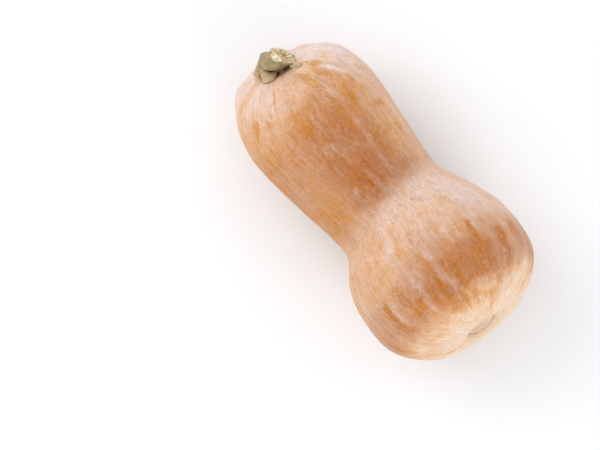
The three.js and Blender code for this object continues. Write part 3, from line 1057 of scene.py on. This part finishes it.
def rind_material():
    g = Graph(bpy.data.materials, "rind")
    rind = g.attribute("rind", "Vector")
    masks = ("bloom", "bare", "pale", "depth", "side", "cream", "scratch", "from_blossom")
    g.read(masks, RIND_NOISES, rind=rind)
    g.parts["fibres"] = g.times("fibres", "side")
    add_veins(g, rind)
    add_bloom(g)
    surface = coated_rind(g)
    for layer in (with_scratches, with_scar, with_grit):
        surface = layer(g, surface)
    dents = g.bump("dents", *DENT_BUMP)
    low = g.bump(g.weighed(LOW_BUMPS), *LOW_BUMP, dents)
    fine = g.bump("specks", *SPECK_BUMP, low)
    g.fill(g.shader, {"Base Color": surface, "Roughness": g.look(*ROUGH), "Normal": fine, **RIND_GLOSS})
    return g.block


def wall_colour(g):
    """The stem's side: tan wood with grey, green, pale and brown places, lighter feet, dark grain and painted
    shade.
    """
    side = g.mix(g.look(*FOOTLESS), STEM_FOOT, STEM_TAN)
    side = g.mix("grey", side, STEM_GREY)
    side = g.mix("green", side, STEM_GREEN)
    side = g.mix("pale", side, STEM_PALE)
    side = g.mix("brown", side, STEM_BROWN)
    # dark grain, then painted shade in the dark places and in the creases
    for dark in (g.look(*GRAINY), g.times("dark", STEM_SHADE_STRENGTH), g.look(*CREASE_SHADE)):
        side = g.mix(dark, side, STEM_DARK_GRAIN_AND_SHADE)
    return side


def cut_colour(g):
    """The cut: cream broken wood round ochre pith, with grey, green and brown places and painted shade in
    creases.
    """
    wood = g.mix(g.look(*CUT_LIGHT), CUT_SHADE, CUT_CREAM)
    pith = g.mix(g.look(*PITH_LIGHT), CUT_OCHRE, CUT_CREAM)
    cut = g.mix(g.look(*PITHLESS), pith, wood)
    cut = g.mix("grey", cut, STEM_GREY)
    cut = g.mix("green", cut, CUT_GREEN)
    cut = g.mix(g.times("brown", CUT_BROWN_STRENGTH), cut, STEM_BROWN)
    # brown painted shade in the cut's creases
    return g.mix(g.look(*CUT_CREASE_SHADE), cut, STEM_BROWN)


def stem_material():
    g = Graph(bpy.data.materials, "stem")
    masks = ("along", "from_pith", "on_face", *STEM_PATCHES)
    g.read(masks, STEM_NOISES, grain=g.attribute("grain", "Vector"))
    g.parts["creases"] = g.node("NewGeometry").outputs["Pointiness"]
    g.parts["jagged"] = g.weighed(JAGGED)
    for name in STEM_PATCHES:
        g.parts[name] = g.spread(g.sum(name, "jagged"), *STEM_PATCH_EDGE)
    surface = g.mix(g.look(*TORN), wall_colour(g), cut_colour(g))
    low = g.bump("fibres", *STEM_FIBRE_BUMP)
    fine = g.bump("flecks", *STEM_FLECK_BUMP, low)
    g.fill(g.shader, {"Base Color": surface, "Normal": fine, **STEM_GLOSS})
    return g.block


def floor_material():
    g = Graph(bpy.data.materials, "paper")
    g.fill(g.shader, {"Base Color": colour(*FLOOR_COLOUR), **FLOOR_GLOSS})
    return g.block


# ---- Floor, light and camera ----


def add_floor():
    mesh = bpy.data.meshes.new("floor")
    s = FLOOR_HALF
    mesh.from_pydata([(-s, -s, 0), (s, -s, 0), (s, s, 0), (-s, s, 0)], [], [(0, 1, 2, 3)])
    mesh.materials.append(floor_material())
    floor = add_object(mesh)


def picture_axes():
    """The directions to the right in the picture, up it and straight up towards the camera."""
    right = Vector(CAMERA_RIGHT).normalized()
    above = Vector((0, 0, 1))
    return right, above.cross(right), above


def add_light(name, direction, power, tint):
    """A square soft light on the middle of the fruit, from a direction given in the picture."""
    data = bpy.data.lights.new(name, "AREA")
    data.size = LIGHT_SIZE
    data.energy = power
    data.color = tint
    right, up, above = (axis * share for axis, share in zip(picture_axes(), direction))
    towards = (right + up + above).normalized()
    light = add_object(data)
    light.location = LIT_POINT + towards * LIGHT_DISTANCE
    light.rotation_mode = "QUATERNION"
    light.rotation_quaternion = towards.to_track_quat("Z", "Y")


def add_camera():
    data = bpy.data.cameras.new("camera")
    data.sensor_width = SENSOR_WIDTH
    data.lens = SENSOR_WIDTH / FRAME_WIDTH_AT_A_METRE
    camera = add_object(data)
    camera.matrix_world = Matrix.Translation(CAMERA_PLACE) @ Matrix(picture_axes()).transposed().to_4x4()
    bpy.context.scene.camera = camera


def add_world():
    """A pale studio all round, brighter low down than overhead."""
    g = Graph(bpy.data.worlds, "studio", "Background")
    height = g.node("SeparateXYZ", g.node("TexCoord").outputs["Generated"]).outputs["Z"]
    strength = g.node("MapRange", height, 0, 1, *SKY_STRENGTH).outputs[0]
    g.fill(g.shader, {"Color": colour(*SKY_COLOUR), "Strength": strength})
    bpy.context.scene.world = g.block


skin, offset = fruit_skin()
skin.data.materials.append(rind_material())
wood = stem_material()
stem = stem_stub(offset)
knob = stem_knob(offset)
for piece in (stem, knob):
    piece.data.materials.append(wood)
for piece, node, slot in ((skin, "fruit", "rind"), (stem, "stem", "stem"), (knob, "stem", "stem")):
    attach(piece, "root")
    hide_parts(node)

add_floor()
add_world()
for name, settings in LIGHTS.items():
    add_light(name, *settings)
add_camera()
bpy.context.scene.view_settings.view_transform = "Standard"
